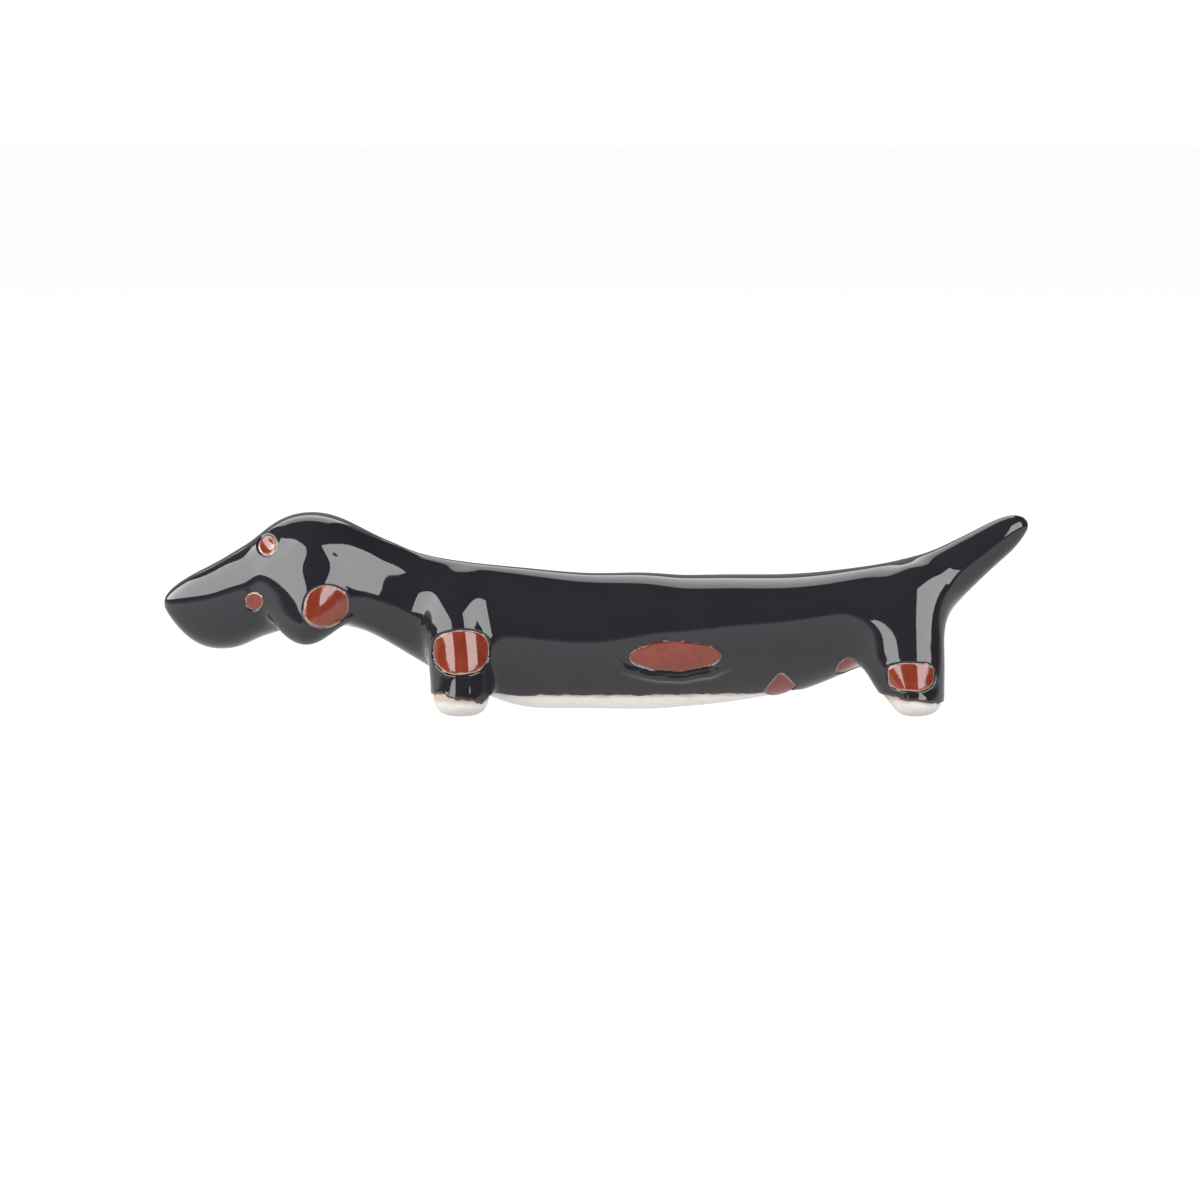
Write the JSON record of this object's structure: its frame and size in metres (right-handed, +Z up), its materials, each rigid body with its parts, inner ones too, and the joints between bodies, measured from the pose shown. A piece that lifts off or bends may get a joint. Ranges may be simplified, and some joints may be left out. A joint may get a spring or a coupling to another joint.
{
  "type": "dog figurine rest",
  "caption": "Low glazed ceramic dachshund with a dipped back, raised head and tail, resting on its belly and feet.",
  "frame": {"origin": "bottom centre of the outline, on the resting plane", "axes": "+X from nose to tail, +Z up, the dog's left side at -Y"},
  "size_m": [0.1, 0.0186, 0.0226],
  "materials": {
    "biscuit_clay": "matt white biscuit",
    "black_glaze": "high gloss black",
    "red_slip": "glossy iron red"
  },
  "bodies": {
    "root": {"trunk": "biscuit_clay", "head": "biscuit_clay", "tail": "biscuit_clay", "left_ear": "biscuit_clay", "right_ear": "biscuit_clay", "front_left_leg": "biscuit_clay", "front_right_leg": "biscuit_clay", "hind_left_leg": "biscuit_clay", "hind_right_leg": "biscuit_clay", "glaze_coat": "black_glaze", "left_eye_dab": "red_slip", "right_eye_dab": "red_slip", "left_mouth_dab": "red_slip", "right_mouth_dab": "red_slip", "left_ear_dab": "red_slip", "right_ear_dab": "red_slip", "front_left_leg_dab": "red_slip", "front_right_leg_dab": "red_slip", "hind_left_leg_dab": "red_slip", "hind_right_leg_dab": "red_slip", "left_flank_dab": "red_slip", "right_flank_dab": "red_slip", "left_belly_dab": "red_slip", "right_belly_dab": "red_slip", "left_groin_dab": "red_slip", "right_groin_dab": "red_slip"}
  },
  "joints": []
}
